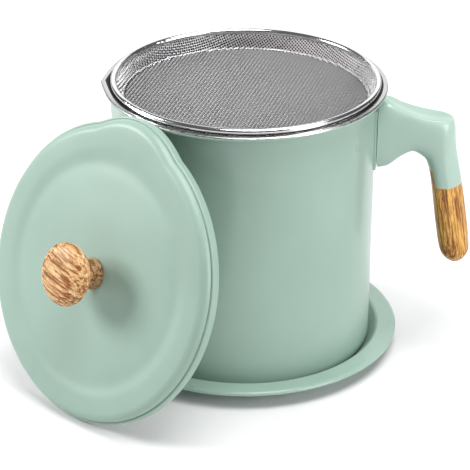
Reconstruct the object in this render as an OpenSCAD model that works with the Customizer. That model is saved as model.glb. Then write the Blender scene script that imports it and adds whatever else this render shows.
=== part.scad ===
// Bacon grease container: a spouted pot with a side handle, a mesh strainer in its mouth,
// a lift-off lid that leans on the pot, and a round tray under it.
// Origin: centre of the tray's underside, on the table. The handle points to +X, the spout to -X.

/* [Pot] */
// Outside radius of the pot's wall
pot_r = 63.8; // [52:0.2:78]
// Height of the pot from its own base to the top of its lip
pot_h = 138.7; // [110:0.1:170]
// Thickness of the steel sheet of the pot, the lid and the tray
sheet = 0.8; // [0.6:0.1:1]
// Radius of the pot's lower edge
base_round = 6; // [3:0.5:10]
// Radius under the lip, where the wall flares out
flare_r = 4; // [3.4:0.2:4.6]
// Radius of the rolled edge of the lip
lip_roll_r = 1; // [0.9:0.05:1.2]
// Gap between the pot's base and the tray it stands on
stand_gap = 0.3; // [0.2:0.05:0.5]

/* [Spout] */
// Half the angle that the pressed spout takes of the wall
spout_half_angle = 15; // [12:1:18]
// How far the spout pushes the wall out
spout_wall_push = 2.4; // [1.5:0.1:2.8]
// How far the spout pushes the lip out
spout_lip_push = 1.5; // [1:0.1:2]
// Height of the spout's channel in the wall
spout_channel_h = 42; // [30:1:60]

/* [Tray] */
// Width of the tray's flange and turned edge outside its well
tray_flange = 9.5; // [7:0.1:14]
// Height of the tray
tray_h = 9.6; // [6.5:0.1:12]
// Gap between the pot's wall and the inner edge of the tray's flange
tray_well_gap = 4.5; // [3:0.5:6]
// Radius of the tray's turned edge
tray_roll_r = 1.4; // [1.1:0.1:1.8]

/* [Strainer] */
// Width of the steel ring round the strainer
ring_w = 2.86; // [2.4:0.1:3.4]
// Radius of the strainer ring's middle, less the pot's wall radius
ring_offset = 0.85; // [0.6:0.05:1]
// Depth of the mesh basket under the ring's top
basket_depth = 9.4; // [7:0.2:14]
// Thickness of the woven mesh
mesh_t = 0.5; // [0.4:0.1:0.8]
// Distance between the drawn wires of the mesh floor
net_pitch = 6.8; // [6.6:0.1:9]
// Width of the drawn wires of the mesh floor
net_wire = 1.2; // [0.8:0.1:2]

/* [Lid] */
// Gap between the pot's lip and the lid's skirt round it
skirt_gap = 0.7; // [0.5:0.1:1.2]
// Thickness of the lid's folded hem
hem_t = 2; // [1.8:0.1:2.6]
// Height of the lid's folded hem
hem_h = 4.5; // [4:0.1:6]
// Height of the lid's flat ring over its lower edge
lid_ring_h = 8.3; // [7.8:0.1:10]
// Height of the lid's centre over its lower edge
lid_dome_h = 9.7; // [9:0.1:13]
// How far the lid's edge swells out over the spout
lid_spout_push = 4.6; // [3:0.1:6]
// Half the angle of that swelling
lid_spout_half_angle = 22; // [16:1:28]
// Angle by which the leaning lid stands off the vertical
lid_lean = 18.5; // [12:0.5:24]
// Direction in which the leaning lid's top side looks, seen from above
lid_bearing = 225.7; // [200:0.1:250]
// Turn of the lid's spout from its highest point
lid_spin = 3.5; // [-12:0.5:12]
// Gap between the leaning lid and the table
lean_gap = 0.3; // [0.2:0.05:0.5]
// Distance of the lid's lower plane outside the pot's lip, at the lip's height
lid_stand_off = -0.2; // [-0.3:0.1:5]

/* [Knob] */
// Radius of the knob's cap
knob_r = 15; // [12:0.5:18]
// Height of the knob
knob_h = 22.5; // [18:0.5:26]
// Radius of the knob's foot
knob_foot_r = 7.6; // [6.6:0.2:9]
// Radius of the screw in the knob
knob_screw_r = 2; // [1.5:0.1:2.2]

/* [Handle] */
// Half the width of the handle at the wall
handle_half_w = 9.2; // [8:0.2:11]
// Distance from the pot's lip down to the top of the handle
handle_drop = 8; // [7:0.2:14]
// Distance from the handle's top down to the wood-effect grip
grip_drop = 44.9; // [42:0.2:50]
// Thickness of the bracket's plate on the pot's wall
bracket_t = 1.1; // [0.8:0.1:1.6]
// Width, height and reach of the bracket's tang inside the handle
tang = [9, 15, 14]; // [5:0.5:20]
// Clearance of the tang and of the grip's tenon in their sockets
socket_gap = 0.15; // [0.1:0.05:0.3]
// Radius of the screw that holds the handle
handle_screw_r = 2; // [1.5:0.1:2.2]

/* [Hidden] */
$fn = 96;
turns = 72;
arc_steps = 4;
mint = [0.60, 0.74, 0.67];
steel = [0.80, 0.80, 0.80];
wood_tone = [0.76, 0.52, 0.28];

pot_base_z = sheet + stand_gap;
lip_z = pot_base_z + pot_h;
lip_flat = 0.5;
lip_r = pot_r + flare_r + lip_flat + lip_roll_r;
flare_z = lip_z - sheet - flare_r;
well_r = pot_r + tray_well_gap;
tray_r = well_r + tray_flange;

ring_mid_r = pot_r + ring_offset;
ring_half = ring_w / 2;
// The ring's lower round rests on the inside of the flare
ring_seat = flare_r + sheet + ring_half + stand_gap;
ring_low_z = flare_z + sqrt(pow(ring_seat, 2) - pow(flare_r - ring_offset, 2));
ring_straight = 0.4;
ring_top_z = ring_low_z + ring_straight + ring_half;
floor_z = ring_top_z - basket_depth;
floor_r = pot_r - 3.2;

skirt_r = lip_r + skirt_gap;
hem_r = skirt_r + hem_t;
step_r = hem_r - 7.9;

// ---- shared forms ----

// Points of an arc from angle a0 to a1
function arc(cx, cy, r, a0, a1, n = arc_steps) =
    [for (i = [0:n]) let (a = a0 + (a1 - a0) * i / n) [cx + r * cos(a), cy + r * sin(a)]];

// The pressed V of the pot's spout: 1 at its middle, 0 where its straight sides meet the round
function vee(a) =
    abs(a) >= spout_half_angle ? 0
    : (1 / cos(spout_half_angle - abs(a)) - 1) / (1 / cos(spout_half_angle) - 1);

// The rounded swelling of the lid over the spout
function swell(a) =
    abs(a) >= lid_spout_half_angle ? 0 : pow(1 - pow(a / lid_spout_half_angle, 2), 1.3);

// Angle from the -X side, between -180 and 180
function from_spout(i) = let (a = 360 * i / turns) a > 180 ? a - 360 : a;

// Turned shell whose rings swell at the spout. Each profile point is [radius, height, push],
// and the profile runs from the axis out, round the edge and back to the axis.
module spouted_shell(profile, bump) {
    n = len(profile);
    last = n - 2;
    rings = [for (k = [1:last]) for (i = [0:turns - 1])
        let (p = profile[k], a = from_spout(i), r = p[0] + p[2] * bump[i])
        [-r * cos(a), -r * sin(a), p[1]]];
    first_tip = len(rings);
    last_tip = first_tip + 1;
    points = concat(rings, [[0, 0, profile[0][1]], [0, 0, profile[n - 1][1]]]);
    function at(k, i) = (k - 1) * turns + (i % turns);
    faces = concat(
        [for (i = [0:turns - 1]) [first_tip, at(1, i), at(1, i + 1)]],
        [for (k = [1:last - 1]) for (i = [0:turns - 1]) [at(k, i), at(k + 1, i), at(k + 1, i + 1)]],
        [for (k = [1:last - 1]) for (i = [0:turns - 1]) [at(k, i), at(k + 1, i + 1), at(k, i + 1)]],
        [for (i = [0:turns - 1]) [last_tip, at(last, i + 1), at(last, i)]]);
    polyhedron(points, faces, convexity = 6);
}

// ---- tray ----

// Shallow pressed tray: flat base, sloping side, level flange and turned-down edge
module tray() {
    foot_r = well_r - 7;
    top = tray_h;
    roll_x = tray_r - tray_roll_r;
    roll_z = top - tray_roll_r;
    color(mint) rotate_extrude() polygon(concat(
        [[0, 0], [foot_r, 0]],
        [[well_r, top - sheet - 0.5], [well_r + 0.7, top - sheet], [roll_x, top - sheet]],
        arc(roll_x, roll_z, tray_roll_r - sheet, 60, -20),
        arc(roll_x, roll_z, tray_roll_r, -20, 90),
        [[well_r + 0.4, top], [well_r - 0.7, top - 0.6], [foot_r - 0.5, sheet], [0, sheet]]));
}

// ---- pot ----

// Push of the spout on the wall at height z over the pot's base
function channel(z) =
    let (t = (z - (pot_h - spout_channel_h)) / (spout_channel_h * 0.72))
    spout_wall_push * (t <= 0 ? 0 : t >= 1 ? 1 : t * t * (3 - 2 * t));

// Radius, height and push of the drawn can, outside first, then the lip, then the inside
function pot_profile() =
    let (fz = pot_h - sheet - flare_r,
         wall_z = [for (k = [0:3]) pot_h - spout_channel_h * (1 - 0.24 * k)],
         roll = [pot_r + flare_r + lip_flat, pot_h - lip_roll_r],
         lip = spout_lip_push,
         bend = spout_lip_push - spout_wall_push)
    concat(
        [[0, 0, 0]],
        [for (p = arc(pot_r - base_round, base_round, base_round, -90, 0)) [p[0], p[1], 0]],
        [for (z = wall_z) [pot_r, z, channel(z)]],
        [for (i = [0:arc_steps]) let (a = 180 - 90 * i / arc_steps)
            [pot_r + flare_r + flare_r * cos(a), fz + flare_r * sin(a),
             spout_wall_push + bend * i / arc_steps]],
        [for (p = arc(roll[0], roll[1], lip_roll_r, -80, 90, 5)) [p[0], p[1], lip]],
        [for (i = [0:arc_steps]) let (a = 90 + 90 * i / arc_steps)
            [pot_r + flare_r + (flare_r + sheet) * cos(a), fz + (flare_r + sheet) * sin(a),
             lip - bend * i / arc_steps]],
        [for (k = [3:-1:0]) [pot_r - sheet, wall_z[k], channel(wall_z[k])]],
        [for (p = arc(pot_r - base_round, base_round, base_round - sheet, 0, -90)) [p[0], p[1], 0]],
        [[0, sheet, 0]]);

// Drawn steel pot with its flared bare lip and the spout pressed into its wall
module pot() {
    color(mint) translate([0, 0, pot_base_z])
        spouted_shell(pot_profile(), [for (i = [0:turns - 1]) vee(from_spout(i))]);
}

// ---- handle ----

top = lip_z - handle_drop;
root_h = 36;
tang_z = top - root_h / 2 + 1;
tang_root_x = sqrt(pow(pot_r + bracket_t, 2) - pow(tang[0] / 2, 2)) - 0.3;
tang_end_x = pot_r + bracket_t + tang[2];
screw_x = pot_r + 9;
screw_head_z = top - root_h + 7.2;

// Curved plate on the wall, with the flat tang that the handle slides on to
module handle_bracket() {
    plate_low = top - root_h + 1.4;
    plate_h = root_h - 5;
    plate_angle = asin((handle_half_w + 0.6) / pot_r);
    color(mint) difference() {
        union() {
            translate([0, 0, plate_low]) rotate([0, 0, -plate_angle])
                rotate_extrude(angle = 2 * plate_angle)
                    translate([pot_r + 0.03, 0]) square([bracket_t - 0.03, plate_h]);
            translate([tang_root_x, -tang[0] / 2, tang_z - tang[1] / 2])
                cube([tang_end_x - tang_root_x, tang[0], tang[1]]);
        }
        translate([screw_x, 0, tang_z - tang[1] / 2 - 1]) cylinder(h = 11, r = handle_screw_r);
    }
}

// Sections of the handle from the wall to the grip's end: the inner point's x and z, the outer
// point's x and z, half the width, and how square the section's inner and outer halves are
root_x = pot_r - 3.8;
grip_sections = [
    [root_x, top - root_h, root_x, top - 3.2, handle_half_w, 3.4, 3.4],
    [root_x + 9.6, top - 35, root_x + 10, top, handle_half_w, 3.4, 3.4],
    [root_x + 16, top - 30.2, root_x + 18.6, top - 3, handle_half_w, 3.2, 3.2],
    [root_x + 22.2, top - 27, root_x + 29, top - 6.2, handle_half_w + 0.2, 3, 3],
    [root_x + 28.2, top - 30.4, root_x + 39.6, top - 8.4, handle_half_w + 0.4, 3, 2.4],
    [root_x + 30.4, top - 34.8, root_x + 43, top - 12.6, handle_half_w + 0.4, 3, 1.8],
    [root_x + 32.2, top - 42, root_x + 44.4, top - 26, handle_half_w + 0.2, 3, 1.4],
    [root_x + 33.8, top - 52.6, root_x + 48.1, top - 45.2, handle_half_w, 2.9, 1.4],
    [root_x + 35.9, top - 67.6, root_x + 51.6, top - 66.6, handle_half_w - 0.2, 2.7, 1.5],
    [root_x + 38.2, top - 80.5, root_x + 53.2, top - 79.9, handle_half_w - 0.9, 2.4, 1.7],
    [root_x + 40.4, top - 85.1, root_x + 52.1, top - 84.7, handle_half_w - 2.6, 2.2, 1.8],
    [root_x + 43.2, top - 87.7, root_x + 49.6, top - 87.5, handle_half_w - 5.4, 2, 2]];
end_tip = [root_x + 46.6, 0, top - 88.5];
joint_z = top - grip_drop;

// Smooth curve through four values, from the second to the third
function blend(a, b, c, d, t) =
    0.5 * (2 * b + (c - a) * t + (2 * a - 5 * b + 4 * c - d) * t * t
           + (3 * b - a - 3 * c + d) * t * t * t);

function power(v, e) = sign(v) * pow(abs(v), e);

// One ring of the handle's skin, from a section of grip_sections
function skin_ring(s, sides) =
    let (mid = [(s[0] + s[2]) / 2, 0, (s[1] + s[3]) / 2],
         half = [(s[2] - s[0]) / 2, 0, (s[3] - s[1]) / 2])
    [for (i = [0:sides - 1]) let (a = 360 * (i + 0.5) / sides, e = 2 / (cos(a) < 0 ? s[5] : s[6]))
        mid + half * power(cos(a), e) + [0, s[4] * power(sin(a), e), 0]];

// The whole outer form of the handle and its grip
module handle_form() {
    sides = 28;
    steps = 3;
    s = grip_sections;
    n = len(s);
    smooth = concat(
        [for (k = [0:n - 2]) for (j = [0:steps - 1])
            blend(s[max(k - 1, 0)], s[k], s[k + 1], s[min(k + 2, n - 1)], j / steps)],
        [s[n - 1]]);
    count = len(smooth);
    skin = [for (ring = smooth) each skin_ring(ring, sides)];
    root_tip = len(skin);
    points = concat(skin, [[root_x, 0, (s[0][1] + s[0][3]) / 2], end_tip]);
    function at(k, i) = k * sides + (i % sides);
    faces = concat(
        [for (i = [0:sides - 1]) [root_tip, at(0, i + 1), at(0, i)]],
        [for (k = [0:count - 2]) for (i = [0:sides - 1]) [at(k, i), at(k + 1, i + 1), at(k + 1, i)]],
        [for (k = [0:count - 2]) for (i = [0:sides - 1]) [at(k, i), at(k, i + 1), at(k + 1, i + 1)]],
        [for (i = [0:sides - 1]) [root_tip + 1, at(count - 1, i), at(count - 1, i + 1)]]);
    polyhedron(points, faces, convexity = 6);
}

// Space of the wood-effect grip: all below its joint, and a tongue up the handle's inner side
module grip_space(gap) {
    tongue_h = 8.6;
    tongue_t = 1.6;
    translate([root_x, 0, joint_z - gap]) mirror([0, 0, 1])
        translate([0, -20, 0]) cube([70, 40, 60]);
    translate([0, 20, 0]) rotate([90, 0, 0]) linear_extrude(40)
        polygon([[root_x + 24, joint_z - 2], [root_x + 32.7 + tongue_t - gap, joint_z - 2],
                 [root_x + 31.1 + tongue_t - gap, joint_z + tongue_h - gap],
                 [root_x + 24, joint_z + tongue_h - gap]]);
}

// Tenon of the handle inside the grip, along the grip's slant
module tenon(gap) {
    translate([root_x + 40.6, 0, joint_z + 4]) rotate([0, -6, 0])
        translate([-3.4 - gap, -4.6 - gap, -32 - gap])
            cube([6.8 + 2 * gap, 9.2 + 2 * gap, 34 + gap]);
}

// Moulded handle: root on the bracket, thumb scoop on top, arm bending down to the grip
module handle() {
    scoop_r = 18;
    scoop_path = 46;
    scoop_x = root_x + 37.5;
    scoop_z = top - 9.4 + scoop_path;
    scoop_depth = 1.3;
    color(mint) difference() {
        union() {
            difference() {
                handle_form();
                grip_space(0);
            }
            tenon(0);
        }
        cylinder(h = lip_z, r = pot_r + bracket_t + 0.05);
        translate([scoop_x, 0, scoop_z]) rotate([90, 0, 0]) rotate_extrude()
            translate([scoop_path + scoop_depth - scoop_r, 0]) circle(scoop_r);
        translate([tang_root_x - 1, -tang[0] / 2 - socket_gap, tang_z - tang[1] / 2 - socket_gap])
            cube([tang_end_x - tang_root_x + 1 + socket_gap,
                  tang[0] + 2 * socket_gap, tang[1] + 2 * socket_gap]);
        translate([screw_x, 0, joint_z]) cylinder(h = tang_z - joint_z, r = handle_screw_r + 0.2);
        translate([screw_x, 0, joint_z]) cylinder(h = screw_head_z + 2 - joint_z, r = 4.2);
    }
}

// Wood-effect grip round the handle's tenon
module handle_grip() {
    color(wood_tone) difference() {
        intersection() {
            handle_form();
            grip_space(0.05);
        }
        tenon(socket_gap);
    }
}

// Screw up through the handle's underside into the bracket's tang
module handle_screw() {
    color(steel) translate([screw_x, 0, screw_head_z]) {
        difference() {
            cylinder(h = 1.8, r = 3.8);
            translate([-3, -0.5, -1]) cube([6, 1, 1.8]);
        }
        cylinder(h = tang_z - tang[1] / 2 + 9 - screw_head_z, r = handle_screw_r - 0.05);
    }
}

// ---- strainer ----

// Section of the mesh side: from the ring down, and the step pressed in it round the floor
module wall_section() {
    hang = ring_low_z - ring_half;
    side_r = pot_r - sheet - 0.6;
    inner = floor_r;
    polygon([
        [ring_mid_r - 0.5, hang + 0.7], [ring_mid_r - 0.3, hang + 0.2], [ring_mid_r - 1.6, hang - 1.6],
        [side_r, hang - 3.2], [inner + 0.6, floor_z - mesh_t], [inner - 1, floor_z - mesh_t],
        [inner - 1, floor_z], [inner - 0.3, floor_z + 0.5], [inner + 0.1, floor_z + 0.1],
        [side_r - mesh_t, hang - 3], [ring_mid_r - 1.6 - mesh_t, hang - 1.4]]);
}

// Folded steel ring that hangs the strainer on the pot's lip and grips its mesh
module strainer_ring() {
    color(steel) rotate_extrude() difference() {
        union() {
            translate([ring_mid_r, ring_low_z]) circle(ring_half);
            translate([ring_mid_r - ring_half, ring_low_z]) square([ring_w, ring_straight]);
            translate([ring_mid_r, ring_low_z + ring_straight]) circle(ring_half);
        }
        wall_section();
    }
}

// Mesh side of the basket
module strainer_wall() {
    color(steel) rotate_extrude() wall_section();
}

// Mesh floor as a flat net
module strainer_floor() {
    net_r = floor_r - 1;
    rim = 1;
    count = floor((net_r - rim) / net_pitch);
    gap = net_pitch - net_wire;
    color(steel) translate([0, 0, floor_z - mesh_t]) linear_extrude(mesh_t) difference() {
        circle(net_r);
        intersection() {
            circle(net_r - rim);
            union() for (i = [-count - 1:count], j = [-count - 1:count])
                if (norm([i + 0.5, j + 0.5]) * net_pitch < net_r - rim)
                    translate([i * net_pitch + net_wire / 2, j * net_pitch + net_wire / 2])
                        square(gap);
        }
    }
}

// ---- lid ----

// Height of the lid's top side over its lower edge, at radius r inside the flat ring
valley_r = 46;
seat_r = 9;
function lid_top(r) =
    let (valley_h = lid_ring_h - 0.5,
         t = min(max((r - seat_r) / (valley_r - seat_r), 0), 1),
         dome = valley_h + (lid_dome_h - valley_h) * pow(cos(90 * t), 1.4),
         dip = 0.55 * exp(-pow((r - valley_r) / 3.2, 2)),
         rise = r < valley_r ? 0 : 0.5 * min((r - valley_r) / 5, 1))
    dome + rise - dip;

// How much of the spout's swelling reaches in to radius r
function reach(r) = let (t = max(min((r - 52) / (skirt_r - 54), 1), 0)) t * t * (3 - 2 * t);

function lid_profile() =
    let (under_r = [0, seat_r, 17, 26, 35, 41.5, valley_r, 50.5, step_r - 1],
         push = lid_spout_push,
         corner = 4.4,
         cx = skirt_r + sheet - corner,
         cz = lid_ring_h - corner)
    concat(
        [for (r = under_r) [r, lid_top(r) - sheet, push * reach(r)]],
        [for (p = arc(cx, cz, corner - sheet, 84, 0)) [p[0], p[1], push * reach(p[0] + 1)]],
        [[skirt_r, hem_h * 0.5, push], [skirt_r, 0.5, push]],
        [for (p = arc(hem_r - hem_round, hem_round, hem_round, -110, 0, 3)) [p[0], p[1], push]],
        [for (p = arc(hem_r - hem_round, hem_h - hem_round, hem_round, 0, 100, 3)) [p[0], p[1], push]],
        [[skirt_r + sheet, hem_h - 0.25, push]],
        [for (p = arc(cx, cz, corner, 12, 86)) [p[0], p[1], push * reach(p[0])]],
        [[step_r, lid_ring_h, push * reach(step_r)]],
        [for (k = [len(under_r) - 2:-1:0]) [under_r[k], lid_top(under_r[k]), push * reach(under_r[k])]]);

// Where the leaning lid stands: on its hem's round on the table, and just off the pot's lip.
// Under the flare of a tall pot it leans on the wall, and a wide lid takes the lip in its hollow.
hem_round = 0.9;
lid_z = (hem_r - hem_round) * cos(lid_lean) - hem_round * sin(lid_lean) + hem_round + lean_gap;
lid_edge_z = lid_z + (hem_r + lid_spout_push - hem_round) * cos(lid_lean);
lid_out = lid_edge_z + hem_h < flare_z - 1
    ? pot_r + lean_gap + (lid_edge_z - lid_z) * tan(lid_lean)
    : lid_edge_z > lip_z + hem_h
    ? lip_r - lip_roll_r + (lip_z - lip_roll_r - lid_z) * tan(lid_lean)
      + (lip_roll_r + lean_gap + sheet - lid_top((lip_z - lid_z) / cos(lid_lean))) / cos(lid_lean)
    : lip_r + (min(lip_z, lid_edge_z) - lid_z) * tan(lid_lean) + lid_stand_off;

module place_lid() {
    rotate([0, 0, lid_bearing]) translate([lid_out, 0, lid_z]) rotate([0, 90 - lid_lean, 0])
        rotate([0, 0, -lid_spin]) children();
}

// Pressed steel lid: folded hem, shoulder, flat ring, valley and dome, swelling over the spout
module lid() {
    color(mint) place_lid() difference() {
        spouted_shell(lid_profile(), [for (i = [0:turns - 1]) swell(from_spout(i))]);
        cylinder(h = 20, r = knob_screw_r + 0.3);
    }
}

// Turned knob with a flared neck and a broad low cap
module knob() {
    neck_r = knob_foot_r - 0.9;
    cap_z = knob_h - 4.6;
    rise = 4.6;
    color(wood_tone) place_lid() translate([0, 0, lid_dome_h]) difference() {
        rotate_extrude() polygon(concat(
            [[0, 0], [knob_foot_r - 0.6, 0], [knob_foot_r, 0.6]],
            [for (i = [0:6]) let (t = i / 6)
                [knob_foot_r - (knob_foot_r - neck_r) * sin(90 * t), 0.9 + 6 * t]],
            [for (i = [1:5]) let (a = 90 * i / 6)
                [neck_r + (knob_r - 2 - neck_r) * (1 - cos(a)), 6.9 + (cap_z - 3.6 - 6.9) * sin(a)]],
            [for (i = [0:5]) let (a = -60 + 60 * i / 5) [knob_r - 2.4 + 2.4 * cos(a), cap_z + 3 * sin(a)]],
            [for (i = [1:12]) let (a = 90 * i / 12) [knob_r * pow(cos(a), 0.62), cap_z + rise * sin(a)]]));
        translate([0, 0, -1]) cylinder(h = 12, r = knob_screw_r);
    }
}

washer_t = 1;

// Washer under the lid, under the screw's head
module knob_washer() {
    color(steel) place_lid() translate([0, 0, lid_dome_h - sheet - washer_t]) difference() {
        cylinder(h = washer_t, r = knob_foot_r - 1.2);
        translate([0, 0, -1]) cylinder(h = washer_t + 2, r = knob_screw_r + 0.3);
    }
}

// Screw up through the lid into the knob
module knob_screw() {
    head_h = 2.2;
    color(steel) place_lid() translate([0, 0, lid_dome_h - sheet - washer_t - head_h]) {
        difference() {
            cylinder(h = head_h, r = 3.9);
            translate([-3, -0.5, -1]) cube([6, 1, 1.9]);
            translate([-0.5, -3, -1]) cube([1, 6, 1.9]);
        }
        cylinder(h = head_h + washer_t + sheet + 9, r = knob_screw_r - 0.05);
    }
}

tray();
pot();
handle_bracket();
handle();
handle_grip();
handle_screw();
strainer_ring();
strainer_wall();
strainer_floor();
lid();
knob();
knob_washer();
knob_screw();
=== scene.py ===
"""Bacon grease pot with its strainer, leaning lid, side handle and tray, finished for a studio picture.

The packed part is loaded as a fixed frame. Its turned pieces keep their shape and get a finish. The drawn
pot and lid, the moulded handle and the woven strainer are made again here, smoother, in the same place.
Only the lid's shallow valley lies further out than in the packed part, as the photograph shows it.
All points below are written in millimetres and turned into metres when a mesh is made.
"""

import math

import bpy
import numpy as np
from mathutils import Matrix, Vector


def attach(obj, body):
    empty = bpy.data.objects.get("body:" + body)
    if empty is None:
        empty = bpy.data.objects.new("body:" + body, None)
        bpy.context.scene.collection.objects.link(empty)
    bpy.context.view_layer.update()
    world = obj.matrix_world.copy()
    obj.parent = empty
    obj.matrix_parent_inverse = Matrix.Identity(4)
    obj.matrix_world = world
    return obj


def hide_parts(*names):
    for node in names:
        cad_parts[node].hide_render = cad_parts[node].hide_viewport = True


bl_info = {
    "name": "Bacon Grease Pot",
    "version": (1, 0, 0),
    "blender": (4, 5, 0),
    "location": "3D View > Sidebar > Grease Pot",
    "description": "Builds a spouted grease pot with a mesh strainer, a leaning lid and a tray",
    "category": "Add Mesh",
}

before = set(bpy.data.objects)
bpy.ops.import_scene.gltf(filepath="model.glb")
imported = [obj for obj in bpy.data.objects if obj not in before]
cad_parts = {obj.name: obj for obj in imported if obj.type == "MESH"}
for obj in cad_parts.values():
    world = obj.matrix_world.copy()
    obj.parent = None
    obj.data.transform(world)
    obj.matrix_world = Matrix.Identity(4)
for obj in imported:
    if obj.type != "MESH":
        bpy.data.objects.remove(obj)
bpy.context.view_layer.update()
MM = 0.001
TURNS = 360  # sides of a turned piece


# ---- sizes and colours -------------------------------------------------------------------------


def length(label, text, value):
    """A size in metres that the sidebar shows with its unit."""
    return bpy.props.FloatProperty(
        name=label, description=text, default=value * MM, unit="LENGTH", precision=4, min=0.0
    )


def angle(label, text, degrees):
    """An angle that the sidebar shows in degrees."""
    return bpy.props.FloatProperty(
        name=label, description=text, default=math.radians(degrees), subtype="ANGLE"
    )


def colour(label, text, value):
    """A paint or steel colour, linear red, green and blue."""
    return bpy.props.FloatVectorProperty(
        name=label, description=text, default=value, size=3, subtype="COLOR", min=0.0, max=1.0
    )


def share(label, text, value):
    """A number from 0 to 1."""
    return bpy.props.FloatProperty(
        name=label, description=text, default=value, subtype="FACTOR", min=0.0, max=1.0
    )


class PotSizes(bpy.types.PropertyGroup):
    """Sizes of the drawn can and of the spout pressed into it."""

    wall_radius: length("Wall radius", "Outside radius of the pot's wall", 63.8)
    height: length("Height", "From the pot's own base to the top of its lip", 138.7)
    base_height: length("Base height", "Height of the pot's base over the table", 1.1)
    sheet: length("Sheet", "Thickness of the steel sheet", 0.8)
    base_round: length("Base round", "Radius of the lower edge", 6.0)
    flare: length("Flare", "Radius under the lip, where the wall flares out", 4.0)
    lip_flat: length("Lip flat", "Level stretch between the flare and the rolled edge", 0.5)
    lip_roll: length("Lip roll", "Radius of the rolled edge", 1.0)
    spout_angle: angle("Spout half angle", "Half the angle that the spout takes", 15)
    spout_wall: length("Spout in the wall", "How far the spout pushes the wall out", 2.4)
    spout_lip: length("Spout at the lip", "How far the spout pushes the lip out", 1.5)
    spout_channel: length("Spout channel", "Height of the spout's channel in the wall", 42.0)


class LidSizes(bpy.types.PropertyGroup):
    """Sizes and place of the pressed lid."""

    skirt: length("Skirt radius", "Inside radius of the lid's skirt", 70.0)
    hem: length("Hem", "Thickness of the folded hem", 2.0)
    hem_height: length("Hem height", "Height of the folded hem", 4.5)
    hem_round: length("Hem round", "Radius of the hem's two edges", 0.9)
    sheet: length("Sheet", "Thickness of the steel sheet", 0.8)
    ring_height: length("Ring height", "Height of the flat ring over the lower edge", 8.3)
    dome_height: length("Dome height", "Height of the centre over the lower edge", 9.7)
    valley: length("Valley radius", "Radius of the shallow valley round the dome", 53.0)
    seat: length("Knob seat", "Radius of the level seat of the knob", 9.0)
    bore: length("Bore", "Radius of the screw's hole", 2.3)
    swelling: length("Swelling", "How far the edge swells out over the spout", 4.6)
    swelling_angle: angle("Swelling half angle", "Half the angle of the swelling", 22)
    lean: angle("Lean", "Angle by which the leaning lid stands off the vertical", 18.5)
    bearing: angle("Bearing", "Direction in which the lid's top side looks", 225.7)
    spin: angle("Spin", "Turn of the swelling from the lid's highest point", 3.5)
    out: length("Distance", "Distance of the lid's lower plane from the pot's axis", 93.0101)
    centre_height: length("Centre height", "Height of the lid's lower plane's centre", 68.3402)


class HandleSizes(bpy.types.PropertyGroup):
    """Sizes of the moulded handle and its grip."""

    root: length("Root", "Distance of the handle's root from the pot's axis", 60.0)
    top: length("Top", "Height of the handle's top over the table", 131.8)
    half_width: length("Half width", "Half the width of the handle at the wall", 9.2)
    saddle: length("Saddle", "Radius of the hollow that fits the bracket", 65.2)
    joint: length("Joint", "Height of the joint between the handle and the grip", 86.9)
    joint_gap: length("Joint gap", "Gap between the handle and the grip", 0.05)
    screw_place: length("Screw place", "Distance of the screw from the pot's axis", 72.8)
    screw_bore: length("Screw bore", "Radius of the bore over the screw's head", 4.2)
    screw_bore_top: length("Screw bore top", "Height of the upper end of that bore", 105.0)
    scoop_depth: length("Scoop depth", "Depth of the thumb scoop", 1.3)
    ridge: length("Ridge", "Softness of the ridge round the thumb scoop", 0.8)


class StrainerSizes(bpy.types.PropertyGroup):
    """Sizes of the woven strainer."""

    pitch: length("Wire pitch", "Distance between neighbouring wires", 1.3)
    wire: length("Wire radius", "Radius of one wire", 0.235)
    crimp: length("Crimp", "How far a wire moves up and down as it passes over and under", 0.16)
    bead: length("Bead", "Width of the pressed bead, where the wires lie closer", 2.0)
    weave_turn: angle("Weave turn", "Turn of the wires from the handle's direction", 30)
    floor_radius: length("Floor radius", "Radius of the flat floor, up to its raised edge", 59.6)
    floor_height: length("Floor height", "Height of the middle of the floor's mesh", 132.9)


class Finishes(bpy.types.PropertyGroup):
    """Colours and gloss of the surfaces."""

    enamel: colour("Enamel", "Baked enamel of the pot, the lid and the tray", (0.262, 0.375, 0.317))
    # made paler than the enamel, partly as painted light on the handle's front side
    moulding_and_light: colour("Moulding", "Moulded plastic of the handle", (0.32, 0.44, 0.38))
    bare_steel: colour("Bare steel", "Bare lip of the pot", (0.55, 0.55, 0.55))
    ring_steel: colour("Ring steel", "Polished ring of the strainer", (0.74, 0.74, 0.74))
    # the same steel wire in two tones: the floor's dimmed as painted shade, the side's made paler as
    # painted light
    floor_wire_shaded: colour("Floor wire", "Woven wire of the strainer's floor", (0.345, 0.343, 0.345))
    side_wire_lit: colour("Side wire", "Wire of the strainer's side, drawn bright", (0.68, 0.67, 0.68))
    # nearly black: painted shade inside the pot
    inside_shade: colour("Coating", "Dark coating inside the pot", (0.012, 0.012, 0.013))
    knob_pale: colour("Knob pale", "Palest tone of the knob", (0.8, 0.53, 0.26))
    knob_warm: colour("Knob warm", "Main tone of the knob", (0.62, 0.31, 0.11))
    knob_dark: colour("Knob dark", "Streaks of the knob", (0.23, 0.06, 0.012))
    grip_pale: colour("Grip pale", "Palest tone of the grip", (0.85, 0.47, 0.12))
    grip_warm: colour("Grip warm", "Main tone of the grip", (0.64, 0.29, 0.06))
    grip_dark: colour("Grip dark", "Streaks of the grip", (0.17, 0.05, 0.01))
    gloss: share("Roughness", "Roughness of the enamel", 0.3)
    lid_gloss: share("Lid roughness", "Roughness of the enamel on the lid", 0.44)


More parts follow.
